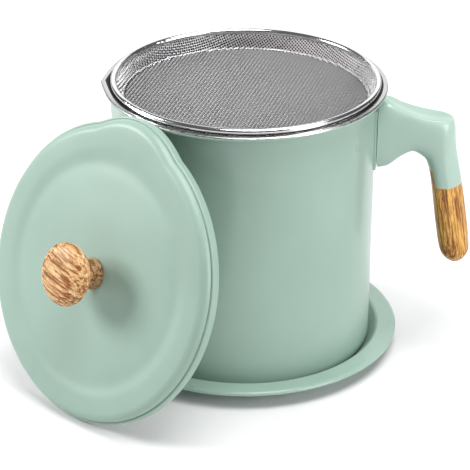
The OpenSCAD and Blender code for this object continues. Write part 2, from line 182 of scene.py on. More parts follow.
class StageSizes(bpy.types.PropertyGroup):
    """Camera, light and floor."""

    camera_place: bpy.props.FloatVectorProperty(
        name="Camera place",
        description="Where the camera stands",
        default=(0.0, -0.98394, 0.54405),
        size=3,
        subtype="XYZ",
    )
    camera_turn: angle("Camera turn", "Turn of the camera to the left", -0.281)
    camera_pitch: angle("Camera pitch", "How far the camera looks down", 26.38)
    camera_roll: angle("Camera roll", "Roll of the camera", 0.374)
    focal_pixels: bpy.props.FloatProperty(
        name="Focal length",
        description="Focal length in pixels of a 470 pixel wide picture",
        default=2176.0,
    )
    floor: colour("Floor", "Pale floor", (0.74, 0.74, 0.745))
    sky: bpy.props.FloatProperty(
        name="Sky", description="Strength of the even light from all round", default=0.11
    )


# ---- meshes ------------------------------------------------------------------------------------


def arc(cx, cy, radius, start, end, steps):
    """Points of an arc, angles in degrees."""
    return [
        (cx + radius * math.cos(math.radians(a)), cy + radius * math.sin(math.radians(a)))
        for a in np.linspace(start, end, steps + 1)
    ]


def smooth_step(t):
    """Soft rise from 0 to 1."""
    t = min(max(t, 0.0), 1.0)
    return t * t * (3 - 2 * t)


def make_object(name, points, faces, sharp=35, metres=False):
    """A smooth-shaded object, sharp only where its faces meet at more than that angle."""
    mesh = bpy.data.meshes.new(name)
    points = np.asarray(points, float)
    mesh.from_pydata(points if metres else points * MM, [], faces)
    mesh.validate()
    mesh.shade_smooth()
    if sharp:
        mesh.set_sharp_from_angle(angle=math.radians(sharp))
    made = bpy.data.objects.new(name, mesh)
    bpy.context.scene.collection.objects.link(made)
    return made


def turned_shell(profile, bump, turns):
    """Rings of (radius, height, push, zone) points round the axis, closed from the last to the first.

    The push moves a ring out by the share that bump gives for the angle from the spout's side.
    """
    angles = np.arange(turns) * 2 * math.pi / turns
    turned = (angles + math.pi) % (2 * math.pi) - math.pi
    share_at = np.array([bump(math.degrees(a)) for a in turned])
    rings = []
    for radius, height, push, _ in profile:
        r = radius + push * share_at
        rings.append(np.c_[-r * np.cos(angles), -r * np.sin(angles), np.full(turns, height)])
    faces, zones = [], []
    count = len(profile)
    for k in range(count):
        low, high = k * turns, (k + 1) % count * turns
        for i in range(turns):
            j = (i + 1) % turns
            faces.append((low + i, low + j, high + j, high + i))
            zones.append(profile[k][3])
    return np.concatenate(rings), faces, zones


def paint_zones(piece, zones, order, materials):
    """Gives each face the material of its zone."""
    for material in materials:
        piece.data.materials.append(material)
    piece.data.polygons.foreach_set("material_index", [order.index(z) for z in zones])


def boolean(piece, tool, operation):
    """Cuts or trims a piece by a tool, and removes the tool."""
    modifier = piece.modifiers.new("trim", "BOOLEAN")
    modifier.object = tool
    modifier.operation = operation
    modifier.solver = "EXACT"
    bpy.context.view_layer.update()
    seen = piece.evaluated_get(bpy.context.evaluated_depsgraph_get())
    trimmed = bpy.data.meshes.new_from_object(seen)
    if not trimmed.polygons:
        raise RuntimeError(f"trimming {piece.name} left nothing")
    piece.modifiers.clear()
    piece.data = trimmed
    bpy.data.objects.remove(tool)


def prism(name, outline, start, end):
    """Block between two places on Y. Its (x, z) outline runs counter-clockwise as seen from the front."""
    n = len(outline)
    points = [(x, y, z) for y in (start, end) for x, z in outline]
    sides = [(i, i + n, (i + 1) % n + n, (i + 1) % n) for i in range(n)]
    return make_object(name, points, [tuple(range(n)), tuple(range(2 * n - 1, n - 1, -1)), *sides])


def round_bar(name, x, radius, low, high, sides):
    """Upright round bar."""
    ring = [
        (x + radius * math.cos(a), radius * math.sin(a))
        for a in np.arange(sides) * 2 * math.pi / sides
    ]
    points = [(px, py, z) for z in (low, high) for px, py in ring]
    walls = [(i, (i + 1) % sides, (i + 1) % sides + sides, i + sides) for i in range(sides)]
    ends = [tuple(range(sides - 1, -1, -1)), tuple(range(sides, 2 * sides))]
    return make_object(name, points, walls + ends)


# ---- shader nodes ------------------------------------------------------------------------------


def feed(tree, source, target):
    """Joins an input to an output, or gives it a plain value."""
    if isinstance(source, bpy.types.NodeSocket):
        tree.links.new(source, target)
    else:
        target.default_value = source


def node(tree, kind, at, **settings):
    """A new node with its settings. Keys that name no setting are inputs of that name."""
    made = tree.nodes.new(kind)
    made.location = at
    for key, value in settings.items():
        if hasattr(made, key):
            setattr(made, key, value)
        else:
            feed(tree, value, made.inputs[key.replace("_", " ").title()])
    return made


def object_place(tree, at):
    """Place on the piece, in metres."""
    return node(tree, "ShaderNodeTexCoord", at).outputs["Object"]


def stretched(tree, at, vector, scale):
    """A vector scaled on each axis."""
    return node(tree, "ShaderNodeMapping", at, vector=vector, scale=scale).outputs["Vector"]


def noise(tree, at, vector, **values):
    """Noise over a vector, about 0.5."""
    return node(tree, "ShaderNodeTexNoise", at, vector=vector, **values).outputs["Fac"]


def map_range(tree, at, value, start, full, low=0.0, high=1.0):
    """Carries the range from start to full over to low to high."""
    limits = {"from_min": start, "from_max": full, "to_min": low, "to_max": high}
    return node(tree, "ShaderNodeMapRange", at, value=value, **limits).outputs["Result"]


def mix(tree, at, factor, first, second, blend="MIX"):
    """Mixes two colours. A colour mix node has them at its inputs 6 and 7."""
    made = node(tree, "ShaderNodeMix", at, data_type="RGBA", blend_type=blend)
    for place, source in ((0, factor), (6, first), (7, second)):
        feed(tree, source, made.inputs[place])
    return made.outputs[2]


def product(tree, at, first, second):
    """Two values multiplied."""
    made = node(tree, "ShaderNodeMath", at, operation="MULTIPLY")
    feed(tree, first, made.inputs[0])
    feed(tree, second, made.inputs[1])
    return made.outputs["Value"]


def vector_math(tree, at, operation, first, second, wanted="Vector"):
    """Two vectors taken together. A scaling has its number at a socket of its own."""
    made = node(tree, "ShaderNodeVectorMath", at, operation=operation)
    feed(tree, first, made.inputs[0])
    feed(tree, second, made.inputs["Scale" if operation == "SCALE" else 1])
    return made.outputs[wanted]


def tone(base, share_of, added=0.0):
    """A colour made darker or paler, with full alpha."""
    return (*[min(share_of * c + added, 1.0) for c in base], 1)


def new_group(name, inputs, outputs):
    """An empty shader group, with what it is given and what is wanted from it."""
    tree = bpy.data.node_groups.new(name, "ShaderNodeTree")
    for label, kind, value in inputs:
        socket = tree.interface.new_socket(name=label, in_out="INPUT", socket_type=kind)
        if value is not None:
            socket.default_value = value
    for label, kind in outputs:
        tree.interface.new_socket(name=label, in_out="OUTPUT", socket_type=kind)
    given = node(tree, "NodeGroupInput", (-1000, 0)).outputs
    return tree, given, node(tree, "NodeGroupOutput", (900, 0)).inputs


def enamel_skin():
    """Group: the slow unevenness and the fine ripple of sprayed and baked enamel."""
    name = "enamel skin"
    if name in bpy.data.node_groups:
        return bpy.data.node_groups[name]
    tree, given, wanted = new_group(
        name,
        [("Ripple Size", "NodeSocketFloat", 900.0), ("Mottle Size", "NodeSocketFloat", 24.0)],
        [("Tone", "NodeSocketFloat"), ("Height", "NodeSocketFloat")],
    )
    place = object_place(tree, (-1000, -200))
    mottle = noise(tree, (-600, 200), place, scale=given["Mottle Size"], detail=3.0, roughness=0.55)
    ripple = noise(tree, (-600, -200), place, scale=given["Ripple Size"], detail=2.0, roughness=0.5)
    feed(tree, map_range(tree, (-200, 200), mottle, 0.3, 0.7), wanted["Tone"])
    feed(tree, ripple, wanted["Height"])
    return tree


def worn_edges():
    """Group: a mask that is bright along outer edges, broken up as handling wears them."""
    name = "worn edges"
    if name in bpy.data.node_groups:
        return bpy.data.node_groups[name]
    tree, given, wanted = new_group(
        name,
        [("Start", "NodeSocketFloat", 0.52), ("Full", "NodeSocketFloat", 0.6)],
        [("Mask", "NodeSocketFloat")],
    )
    sharpness = node(tree, "ShaderNodeNewGeometry", (-800, 200)).outputs["Pointiness"]
    breaks = noise(tree, (-600, -200), object_place(tree, (-1000, -200)), scale=160.0, detail=3.0)
    edge = map_range(tree, (-400, 200), sharpness, given["Start"], given["Full"])
    feed(tree, product(tree, (0, 0), edge, breaks), wanted["Mask"])
    return tree


def wood_print():
    """Group: streaks that run along the vector's Z, wavy, with fine dark pores over them."""
    name = "wood print"
    if name in bpy.data.node_groups:
        return bpy.data.node_groups[name]
    tree, given, wanted = new_group(
        name,
        [
            ("Vector", "NodeSocketVector", None),
            ("Pale", "NodeSocketColor", (0.86, 0.55, 0.2, 1)),
            ("Warm", "NodeSocketColor", (0.62, 0.3, 0.09, 1)),
            ("Dark", "NodeSocketColor", (0.2, 0.065, 0.018, 1)),
            ("Streaks", "NodeSocketFloat", 70.0),
            ("Waviness", "NodeSocketFloat", 0.006),
            ("Dark Share", "NodeSocketFloat", 0.5),
        ],
        [("Colour", "NodeSocketColor"), ("Height", "NodeSocketFloat")],
    )
    # the streaks are bent by a slow noise that is centred on nought
    slow = stretched(tree, (-1000, -300), given["Vector"], (1.0, 1.0, 0.3))
    bend = node(
        tree, "ShaderNodeTexNoise", (-800, -300), vector=slow, scale=60.0, detail=2.0, roughness=0.4
    ).outputs["Color"]
    centred = vector_math(tree, (-600, -300), "SUBTRACT", bend, (0.5, 0.5, 0.5))
    shift = vector_math(tree, (-400, -300), "SCALE", centred, given["Waviness"])
    bent = vector_math(tree, (-200, -200), "ADD", given["Vector"], shift)
    long_way = stretched(tree, (0, -200), bent, (1.0, 1.0, 0.045))
    fineness = product(tree, (0, -400), given["Streaks"], 6.0)
    streak = noise(tree, (200, -200), long_way, scale=fineness, detail=4.0, roughness=0.68)
    fine_way = stretched(tree, (0, -600), bent, (1.0, 1.0, 0.09))
    pores = noise(tree, (200, -600), fine_way, scale=2200.0, detail=2.0, roughness=0.7)
    dark = map_range(tree, (400, -100), streak, 0.51, 0.42)
    pale = map_range(tree, (400, -400), streak, 0.46, 0.6)
    pored = map_range(tree, (400, -700), pores, 0.42, 0.6, 0.5, 1.0)
    weaker = product(tree, (500, 0), dark, given["Dark Share"])
    lit = mix(tree, (600, -300), pale, given["Warm"], given["Pale"])
    streaked = mix(tree, (700, -100), weaker, lit, given["Dark"])
    feed(tree, mix(tree, (800, 0), 1.0, streaked, pored, "MULTIPLY"), wanted["Colour"])
    feed(tree, pores, wanted["Height"])
    return tree


def put_group(tree, group, at, **values):
    """Places a group in a material with its own values."""
    return node(tree, "ShaderNodeGroup", at, node_tree=group, **values).outputs


def new_material(name):
    """A material with its Principled shader and output."""
    material = bpy.data.materials.new(name)
    material.use_nodes = True
    tree = material.node_tree
    tree.nodes.clear()
    shader = node(tree, "ShaderNodeBsdfPrincipled", (400, 0))
    end = node(tree, "ShaderNodeOutputMaterial", (700, 0))
    feed(tree, shader.outputs["BSDF"], end.inputs["Surface"])
    return material, tree, shader


def dress(tree, shader, inputs):
    """Feeds the shader's inputs."""
    for label, source in inputs.items():
        feed(tree, source, shader.inputs[label])


def add_bump(tree, shader, height, strength, distance):
    """Puts a height into the shader's normal."""
    bump = node(tree, "ShaderNodeBump", (200, -400), strength=strength, distance=distance)
    feed(tree, height, bump.inputs["Height"])
    feed(tree, bump.outputs["Normal"], shader.inputs["Normal"])


def painted(name, base, roughness, coat, ripple):
    """Mint paint or moulding: slight mottle, fine ripple, paler along its edges."""
    if name in bpy.data.materials:
        return bpy.data.materials[name]
    material, tree, shader = new_material(name)
    skin = put_group(tree, enamel_skin(), (-600, -200), ripple_size=ripple)
    worn = put_group(tree, worn_edges(), (-600, 200))["Mask"]
    mottled = mix(tree, (-200, 100), skin["Tone"], tone(base, 0.955), tone(base, 1.04))
    paler = mix(tree, (0, 100), worn, mottled, tone(base, 1.25, 0.04))
    rough = map_range(tree, (0, -150), skin["Tone"], 0.0, 1.0, roughness - 0.03, roughness + 0.03)
    inputs = {"Base Color": paler, "Roughness": rough, "Coat Weight": coat, "Coat Roughness": 0.12}
    dress(tree, shader, inputs)
    add_bump(tree, shader, skin["Height"], 0.05, 0.0002)
    return material


def enamel():
    """Satin baked enamel."""
    looks = bpy.context.scene.grease_finishes
    return painted("mint enamel", looks.enamel, looks.gloss, 0.12, 900.0)


def lid_enamel_shaded():
    """The pot's enamel on the lid with less gloss, its colour dimmed a little as painted shade."""
    looks = bpy.context.scene.grease_finishes
    # painted shade: the lid's copy of the enamel is dimmed
    shade_tone = [0.94 * c for c in looks.enamel]
    return painted("mint enamel lid shaded", shade_tone, looks.lid_gloss, 0.03, 900.0)


def moulding_and_light():
    """Satin moulded plastic, its colour made paler: partly its own tone, partly painted light on the
    handle's front side.
    """
    looks = bpy.context.scene.grease_finishes
    return painted("mint moulding", looks.moulding_and_light, 0.3, 0.1, 1500.0)


def steel(name, base, roughness, streaks, along):
    """Bare steel with fine polishing lines."""
    material, tree, shader = new_material(name)
    lines_way = stretched(tree, (-700, 0), object_place(tree, (-900, 0)), along)
    lines = noise(tree, (-500, 0), lines_way, scale=streaks, detail=4.0, roughness=0.65)
    lined = mix(tree, (-200, 150), lines, tone(base, 0.86), tone(base, 1.08))
    rough = map_range(tree, (-200, -150), lines, 0.3, 0.7, roughness * 0.75, roughness * 1.25)
    dress(tree, shader, {"Base Color": lined, "Roughness": rough, "Metallic": 1.0})
    add_bump(tree, shader, lines, 0.04, 0.0001)
    return material


def inside_shade():
    """Near-black inside of the pot with a faint speckle: painted shade in the gap under the ring and behind
    the mesh.
    """
    material, tree, shader = new_material("dark coating")
    base = bpy.context.scene.grease_finishes.inside_shade
    speckle = noise(tree, (-600, 0), object_place(tree, (-900, 0)), scale=1400.0, detail=2.0)
    speckled = mix(tree, (-200, 150), speckle, tone(base, 0.7), tone(base, 1.8))
    dress(tree, shader, {"Base Color": speckled, "Roughness": 0.6, "Specular IOR Level": 0.2})
    add_bump(tree, shader, speckle, 0.1, 0.0002)
    return material


def wood_effect(name, across, along, streaks, waviness, dark_share, tones):
    """Printed wood effect under a satin lacquer, with its streaks along one direction."""
    material, tree, shader = new_material(name)
    along = Vector(along).normalized()
    across = (Vector(across) - Vector(across).dot(along) * along).normalized()
    turned = node(tree, "ShaderNodeMapping", (-700, 0), vector=object_place(tree, (-900, 0)))
    turned.inputs["Rotation"].default_value = Matrix((across, along.cross(across), along)).to_euler()
    pale, warm, dark = (tone(each, 1.0) for each in tones)
    grain = put_group(
        tree,
        wood_print(),
        (-300, 0),
        vector=turned.outputs["Vector"],
        pale=pale,
        warm=warm,
        dark=dark,
        streaks=streaks,
        waviness=waviness,
        dark_share=dark_share,
    )
    worn = put_group(tree, worn_edges(), (-300, 300))["Mask"]
    paler = mix(tree, (0, 200), worn, grain["Colour"], pale)
    rough = map_range(tree, (0, -200), grain["Height"], 0.0, 1.0, 0.5, 0.38)
    dress(tree, shader, {"Base Color": paler, "Roughness": rough, "Specular IOR Level": 0.3})
    add_bump(tree, shader, grain["Height"], 0.25, 0.0002)
    return material


def paint_shade_towards_end(material, direction, dark_at, full_at, share_left):
    """Darkens a material towards one end of its piece: painted shade, as on the knob's neck under its head.
    """
    tree = material.node_tree
    base = tree.nodes["Principled BSDF"].inputs["Base Color"]
    colour_now = base.links[0].from_socket
    place = object_place(tree, (-700, 500))
    along = vector_math(tree, (-500, 500), "DOT_PRODUCT", place, direction, "Value")
    shade = map_range(tree, (-300, 500), along, dark_at, full_at, share_left, 1.0)
    feed(tree, mix(tree, (200, 300), 1.0, colour_now, shade, "MULTIPLY"), base)


def finish_node(name, material):
    """Gives a CAD node that keeps its shape its finish."""
    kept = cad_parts[name]
    kept.data.materials.clear()
    kept.data.materials.append(material)


# ---- the pot -----------------------------------------------------------------------------------


def vee(half):
    """Pressed V of the spout: 1 at its middle, 0 where its straight sides meet the round."""

    def bump(degrees):
        a = math.radians(abs(degrees))
        if a >= half:
            return 0.0
        return (1 / math.cos(half - a) - 1) / (1 / math.cos(half) - 1)

    return bump


def pot_profile(s):
    """Radius, height, push and zone of the can: outside up, over the lip, and down the inside."""
    r, h, t, base = s.wall_radius / MM, s.height / MM, s.sheet / MM, s.base_round / MM
    flare, flat, roll = s.flare / MM, s.lip_flat / MM, s.lip_roll / MM
    wall_push, lip_push, channel_h = s.spout_wall / MM, s.spout_lip / MM, s.spout_channel / MM
    flare_z = h - t - flare
    channel_z = h - channel_h
    channel_rise = 0.72 * channel_h
    bend = lip_push - wall_push
    steps = 10

    def channel(z):
        return wall_push * smooth_step((z - channel_z) / channel_rise)

    plain = np.linspace(base + 12, channel_z, 8)
    wall_z = np.concatenate([plain, np.linspace(channel_z, flare_z - 1, 20)[1:]])
    points = [(0.01, 0, 0, "outside")]
    points += [(x, z, 0, "outside") for x, z in arc(r - base, base, base, -90, 0, steps)]
    points += [(r, z, channel(z), "outside") for z in wall_z]
    for i in range(steps + 1):
        a = math.radians(180 - 90 * i / steps)
        x, z = r + flare + flare * math.cos(a), flare_z + flare * math.sin(a)
        points.append((x, z, wall_push + bend * i / steps, "outside"))
    for i, (x, z) in enumerate(arc(r + flare + flat, h - roll, roll, -80, 90, 12)):
        points.append((x, z, lip_push, "outside" if i < 7 else "lip"))
    for i in range(steps + 1):
        a = math.radians(90 + 90 * i / steps)
        x, z = r + flare + (flare + t) * math.cos(a), flare_z + (flare + t) * math.sin(a)
        points.append((x, z, lip_push - bend * i / steps, "lip" if i < 1 else "inside"))
    points += [(r - t, z, channel(z), "inside") for z in wall_z[::-1]]
    points += [(x, z, 0, "inside") for x, z in arc(r - base, base, base - t, 0, -90, steps)]
    points.append((0.01, t, 0, "inside"))
    return points


class GREASEPOT_OT_pot(bpy.types.Operator):
    """Make the drawn pot with its bare lip and pressed spout"""

    bl_idname = "greasepot.pot"
    bl_label = "Pot"

    def execute(self, context):
        sizes, looks = context.scene.grease_pot, context.scene.grease_finishes
        points, faces, zones = turned_shell(pot_profile(sizes), vee(sizes.spout_angle), TURNS)
        points[:, 2] += sizes.base_height / MM
        pot = make_object("pot_shell", points, faces, sharp=50)
        lip = steel("bare lip", looks.bare_steel, 0.3, 300.0, (1, 1, 6))
        # the inside is near black: painted shade
        paint_zones(pot, zones, ["outside", "lip", "inside"], [enamel(), lip, inside_shade()])
        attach(pot, "pot")
        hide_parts("pot")
        return {"FINISHED"}


# ---- the lid and its knob ----------------------------------------------------------------------


def swell(half):
    """Rounded swelling of the lid's edge over the spout."""

    def bump(degrees):
        a = math.radians(abs(degrees)) / half
        return 0.0 if a >= 1 else (1 - a * a) ** 1.3

    return bump


def lid_profile(s):
    """Radius, height, push and zone of the lid: from its bore out along the underside, round and back."""
    skirt, hem, hem_h, rnd = s.skirt / MM, s.hem / MM, s.hem_height / MM, s.hem_round / MM
    t, ring_h, dome_h = s.sheet / MM, s.ring_height / MM, s.dome_height / MM
    valley, seat, push = s.valley / MM, s.seat / MM, s.swelling / MM
    hem_r = skirt + hem
    step_r = hem_r - 7.9
    corner = 4.4
    dip_depth, dip_width, ring_drop = 0.4, 4.5, 0.5
    swell_from, swell_run = 52, skirt - 54
    cx, cz = skirt + t - corner, ring_h - corner

    def top(r):
        low = ring_h - ring_drop
        u = min(max((r - seat) / (valley - seat), 0), 1)
        dome = low + (dome_h - low) * max(math.cos(math.pi / 2 * u), 0) ** 1.4
        dip = dip_depth * math.exp(-(((r - valley) / dip_width) ** 2))
        rise = ring_drop * smooth_step((r - valley) / 7)
        return dome + rise - dip

    def reach(r):
        return smooth_step((r - swell_from) / swell_run)

    radii = np.concatenate([[s.bore / MM], np.linspace(seat, step_r - 1, 44)])
    points = [(r, top(r) - t, push * reach(r)) for r in radii]
    points += [(x, z, push * reach(x + 1)) for x, z in arc(cx, cz, corner - t, 84, 0, 10)]
    points += [(skirt, hem_h * 0.5, push), (skirt, 0.5, push)]
    points += [(x, z, push) for x, z in arc(hem_r - rnd, rnd, rnd, -110, 0, 6)]
    points += [(x, z, push) for x, z in arc(hem_r - rnd, hem_h - rnd, rnd, 0, 100, 6)]
    points += [(skirt + t, hem_h - 0.25, push)]
    points += [(x, z, push * reach(x)) for x, z in arc(cx, cz, corner, 12, 86, 12)]
    points += [(step_r, ring_h, push * reach(step_r))]
    points += [(r, top(r), push * reach(r)) for r in radii[::-1]]
    return [(*p, "enamel") for p in points]


def lid_matrix(s):
    """Where the leaning lid is: its local Z is its axis, its local -X its spout side."""
    return (
        Matrix.Rotation(s.bearing, 4, "Z")
        @ Matrix.Translation((s.out, 0, s.centre_height))
        @ Matrix.Rotation(math.pi / 2 - s.lean, 4, "Y")
        @ Matrix.Rotation(-s.spin, 4, "Z")
    )


class GREASEPOT_OT_lid(bpy.types.Operator):
    """Make the pressed lid that leans on the pot"""

    bl_idname = "greasepot.lid"
    bl_label = "Lid"

    def execute(self, context):
        sizes = context.scene.grease_lid
        points, faces, zones = turned_shell(lid_profile(sizes), swell(sizes.swelling_angle), TURNS)
        lid = make_object("lid_shell", points, faces, sharp=40)
        lid.data.transform(lid_matrix(sizes))
        paint_zones(lid, zones, ["enamel"], [lid_enamel_shaded()])
        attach(lid, "lid")
        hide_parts("lid")
        return {"FINISHED"}


class GREASEPOT_OT_knob(bpy.types.Operator):
    """Give the knob its wood effect and the painted shade on its neck"""

    bl_idname = "greasepot.knob"
    bl_label = "Knob"

    def execute(self, context):
        lid_place = lid_matrix(context.scene.grease_lid)
        axis = lid_place.to_3x3() @ Vector((0, 0, 1))
        right = Vector((-axis.y, axis.x, 0)).normalized()
        up = axis.cross(right)
        tilt = math.radians(12)
        along = right * math.cos(tilt) - up * math.sin(tilt)
        across = right * math.sin(tilt) + up * math.cos(tilt)
        looks = context.scene.grease_finishes
        tones = (looks.knob_pale, looks.knob_warm, looks.knob_dark)
        material = wood_effect("wood effect knob", across, along + 0.06 * axis, 110.0, 0.0045, 0.9, tones)
        lid_plane = axis.dot(lid_place.translation)
        # painted shade on the neck, where the knob's head shades it
        neck, head = 15 * MM, 22 * MM
        paint_shade_towards_end(material, axis, lid_plane + neck, lid_plane + head, 0.55)
        finish_node("knob", material)
        return {"FINISHED"}


# ---- the handle and its grip -------------------------------------------------------------------


def handle_sections(s):
    """Inner point's x and z, outer point's x and z, half width, inner and outer squareness."""
    x, top, w = s.root / MM, s.top / MM, s.half_width / MM
    return np.array(
        [
            [x, top - 36, x, top - 3.2, w, 3.4, 3.4],
            [x + 9.6, top - 35, x + 10, top, w, 3.4, 3.4],
            [x + 16, top - 30.2, x + 18.6, top - 3, w, 3.2, 3.2],
            [x + 22.2, top - 27, x + 29, top - 6.2, w + 0.2, 3, 3],
            [x + 28.2, top - 30.4, x + 39.6, top - 8.4, w + 0.4, 3, 2.4],
            [x + 30.4, top - 34.8, x + 43, top - 12.6, w + 0.4, 3, 1.8],
            [x + 32.2, top - 42, x + 44.4, top - 26, w + 0.2, 3, 1.4],
            [x + 33.8, top - 52.6, x + 48.1, top - 45.2, w, 2.9, 1.4],
            [x + 35.9, top - 67.6, x + 51.6, top - 66.6, w - 0.2, 2.7, 1.5],
            [x + 38.2, top - 80.5, x + 53.2, top - 79.9, w - 0.9, 2.4, 1.7],
            [x + 40.4, top - 85.1, x + 52.1, top - 84.7, w - 2.6, 2.2, 1.8],
            [x + 43.2, top - 87.7, x + 49.6, top - 87.5, w - 5.4, 2, 2],
        ]
    )


def curve_between(a, b, c, d, t):
    """Smooth curve through four values, from the second to the third."""
    return 0.5 * (
        2 * b + (c - a) * t + (2 * a - 5 * b + 4 * c - d) * t * t + (3 * b - a - 3 * c + d) * t**3
    )


def handle_form(s, name):
    """Outer form of the handle and its grip together, with the thumb scoop pressed into its top."""
    sections = handle_sections(s)
    steps, sides = 10, 112
    n = len(sections)
    smooth = [
        curve_between(
            sections[max(k - 1, 0)], sections[k], sections[k + 1], sections[min(k + 2, n - 1)], j / steps
        )
        for k in range(n - 1)
        for j in range(steps)
    ]
    smooth.append(sections[-1])
    turn = 2 * math.pi * (np.arange(sides) + 0.5) / sides
    cos, sin = np.cos(turn), np.sin(turn)
    rings = []
    for x0, z0, x1, z1, w, inner, outer in smooth:
        e = np.where(cos < 0, 2 / inner, 2 / outer)
        u, v = np.sign(cos) * np.abs(cos) ** e, np.sign(sin) * np.abs(sin) ** e
        ring = np.c_[(x0 + x1) / 2 + (x1 - x0) / 2 * u, w * v, (z0 + z1) / 2 + (z1 - z0) / 2 * u]
        rings.append(ring)
    points = np.concatenate(rings)
    points = scooped(points, s)
    root_middle = (smooth[0][1] + smooth[0][3]) / 2
    tips = [[s.root / MM, 0, root_middle], [s.root / MM + 46.6, 0, s.top / MM - 88.5]]
    count = len(smooth)
    faces = [
        (k * sides + i, (k + 1) * sides + i, (k + 1) * sides + (i + 1) % sides, k * sides + (i + 1) % sides)
        for k in range(count - 1)
        for i in range(sides)
    ]
    first, last = len(points), len(points) + 1
    faces += [(first, i, (i + 1) % sides) for i in range(sides)]
    low = (count - 1) * sides
    faces += [(last, low + (i + 1) % sides, low + i) for i in range(sides)]
    return make_object(name, np.concatenate([points, tips]), faces, sharp=0)


def scooped(points, s):
    """Presses the thumb scoop into the handle's top, with a soft ridge round it."""
    path, round_r = 46.0, 18.0
    middle_x, middle_z = s.root / MM + 37.5, s.top / MM - 9.4
    x = points[:, 0] - middle_x
    y = np.clip(points[:, 1], -round_r, round_r)
    reach = path + s.scoop_depth / MM - round_r + np.sqrt(round_r**2 - y**2)
    floor = middle_z + path - np.sqrt(np.maximum(reach**2 - x**2, 1.0))
    soft = s.ridge / MM
    inside = np.clip(0.5 + 0.5 * (points[:, 2] - floor) / soft, 0, 1)
    pressed = points[:, 2] * (1 - inside) + floor * inside - soft * inside * (1 - inside)
    upper = points[:, 2] > s.top / MM - 16
    points[:, 2] = np.where(upper, pressed, points[:, 2])
    return points


def grip_outline(s, gap):
    """Outline (x, z) of the grip's space: all below the joint, and the tongue up the inner side."""
    x, z = s.root / MM, s.joint / MM - gap
    low, tongue_top, far = z - 60, z + 8.6, x + 70
    return [
        (x, low),
        (far, low),
        (far, z),
        (x + 34.3 - gap, z),
        (x + 32.7 - gap, tongue_top),
        (x + 24, tongue_top),
        (x + 24, z),
        (x, z),
    ]


class GREASEPOT_OT_handle(bpy.types.Operator):
    """Make the moulded handle and finish the bracket behind it"""

    bl_idname = "greasepot.handle"
    bl_label = "Handle"

    def execute(self, context):
        sizes = context.scene.grease_handle
        handle = handle_form(sizes, "handle_moulding")
        saddle = round_bar("saddle", 0.0, sizes.saddle / MM, 60.0, 150.0, TURNS)
        boolean(handle, saddle, "DIFFERENCE")
        boolean(handle, prism("grip space", grip_outline(sizes, 0.0), -20, 20), "DIFFERENCE")
        bore = round_bar(
            "bore", sizes.screw_place / MM, sizes.screw_bore / MM, 60.0, sizes.screw_bore_top / MM, 48
        )
        boolean(handle, bore, "DIFFERENCE")
        smooth_again(handle, 40)
        handle.data.materials.clear()
        handle.data.materials.append(moulding_and_light())
        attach(handle, "pot")
        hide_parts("handle")
        finish_node("handle_bracket", enamel())
        return {"FINISHED"}


class GREASEPOT_OT_grip(bpy.types.Operator):
    """Make the wood-effect grip"""

    bl_idname = "greasepot.grip"
    bl_label = "Grip"

    def execute(self, context):
        sizes = context.scene.grease_handle
        grip = handle_form(sizes, "grip_sleeve")
        space = prism("grip space", grip_outline(sizes, sizes.joint_gap / MM), -20, 20)
        boolean(grip, space, "INTERSECT")
        smooth_again(grip, 40)
        looks = context.scene.grease_finishes
        tones = (looks.grip_pale, looks.grip_warm, looks.grip_dark)
        material = wood_effect("wood effect grip", (1, -0.2, 0), (-0.15, 0, 1), 150.0, 0.0015, 0.85, tones)
        grip.data.materials.clear()
        grip.data.materials.append(material)
        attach(grip, "pot")
        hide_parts("handle_grip")
        return {"FINISHED"}


def smooth_again(piece, sharp):
    """Smooth shading after a trim, sharp at its cut edges."""
    piece.data.shade_smooth()
    piece.data.set_sharp_from_angle(angle=math.radians(sharp))


# ---- the strainer ------------------------------------------------------------------------------


def basket_profile(s):
    """Lengths along the mesh from its centre, with the radius and height there."""
    r, z = s.floor_radius / MM, s.floor_height / MM
    path = [
        (0.0, z),
        (r - 0.2, z),
        (r + 0.2, z + 0.12),
        (r + 0.6, z + 0.5),
        (r + 1.0, z + 0.5),
        (r + 1.35, z + 0.1),
        (r + 1.7, z + 0.2),
        (r + 1.95, z + 0.8),
        (r + 2.55, z + 3.3),
        (r + 3.2, z + 5.1),
        (r + 4.4, z + 7.0),
    ]
    path = np.array(path)
    steps = np.hypot(*np.diff(path, axis=0).T)
    return np.concatenate([[0.0], np.cumsum(steps)]), path[:, 0], path[:, 1]


